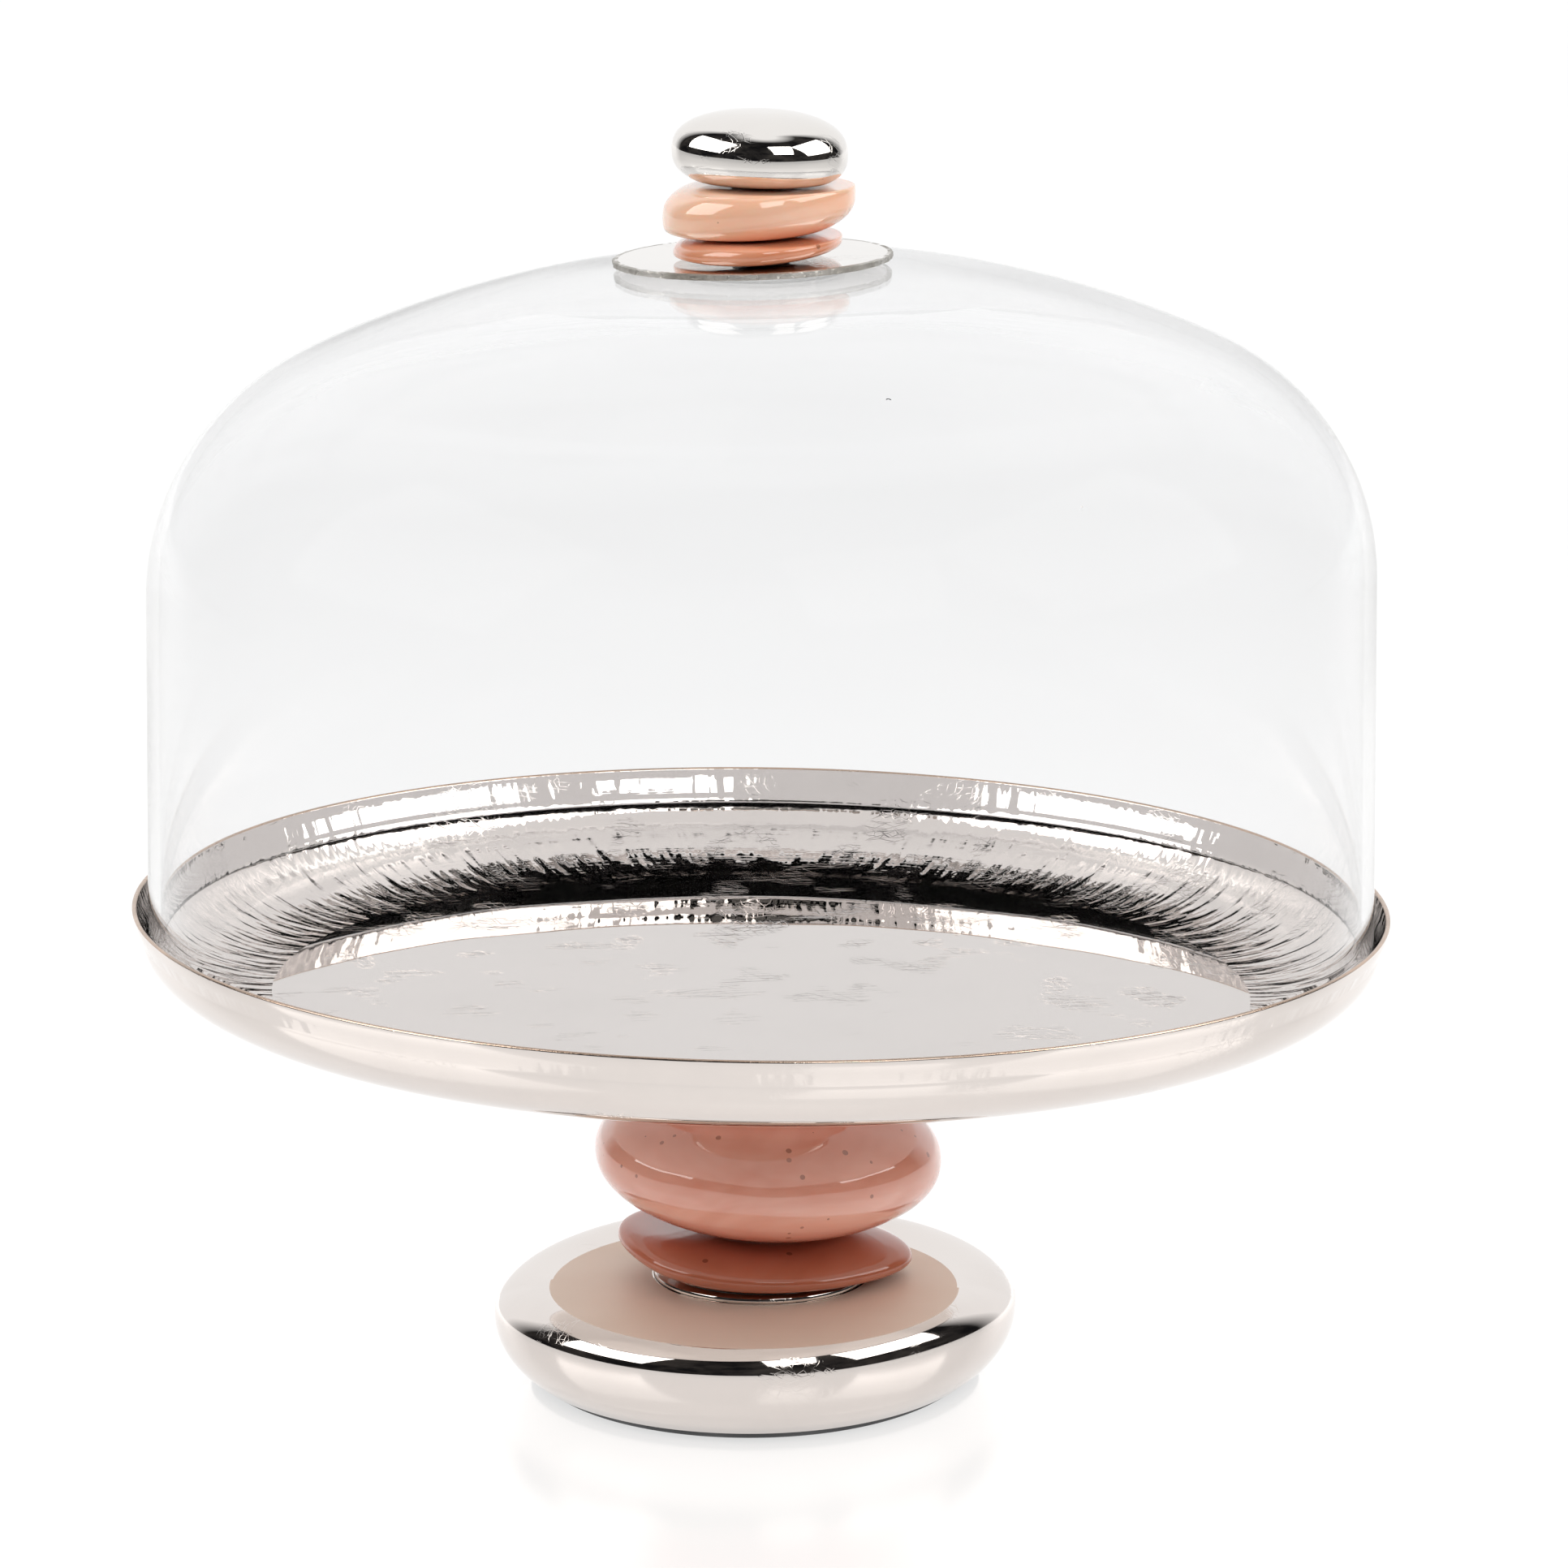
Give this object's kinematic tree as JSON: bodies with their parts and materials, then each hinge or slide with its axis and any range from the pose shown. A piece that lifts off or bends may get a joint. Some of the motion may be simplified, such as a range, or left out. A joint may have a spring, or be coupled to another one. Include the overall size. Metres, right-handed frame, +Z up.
{
  "type": "cake stand",
  "caption": "Pedestal cake stand: a polished tray on stacked glass pebbles, under a clear glass dome that lifts off by its pebble-stack knob.",
  "frame": {"origin": "on the floor, under the tie rod at the middle of the stand", "axes": "+Z up, the side seen in the picture faces -Y, +X is to its right"},
  "size_m": [0.3, 0.3, 0.3082],
  "materials": {
    "polished_nickel": "polished, slightly warm",
    "rose_glass_dark": "opaque cast glass, polished",
    "rose_glass": "opaque cast glass, polished, fine seeds",
    "peach_glass": "opaline cast glass, polished",
    "clear_glass": "clear blown glass",
    "clear_silicone": "translucent",
    "black_rubber": "matte",
    "plated_steel": "zinc plated"
  },
  "bodies": {
    "stand": {"foot_pad": "black_rubber", "base_shell": "polished_nickel", "base_collar": "polished_nickel", "tie_rod": "plated_steel", "tie_rod_washer": "plated_steel", "tie_rod_spring_washer": "plated_steel", "tie_rod_nut": "plated_steel", "base_gasket": "clear_silicone", "pedestal_pebble_lower": "rose_glass_dark", "lower_gasket": "clear_silicone", "pedestal_pebble_middle": "rose_glass", "middle_gasket": "clear_silicone", "pedestal_pebble_top": "rose_glass", "top_gasket": "clear_silicone", "tray_boss": "polished_nickel", "tray": "polished_nickel"},
    "dome": {"glass_dome": "clear_glass", "saucer_bond": "clear_silicone", "knob_saucer": "polished_nickel", "knob_stud": "plated_steel", "knob_gasket_lower": "clear_silicone", "knob_pebble_lower": "rose_glass", "knob_gasket_middle": "clear_silicone", "knob_pebble_upper": "peach_glass", "knob_gasket_upper": "clear_silicone", "knob_cap_pebble": "polished_nickel"}
  },
  "joints": [
    {"name": "dome_lift", "type": "slide", "parent": "stand", "child": "dome", "axis": [0, 0, 1], "range_m": [0, 0.18]}
  ]
}
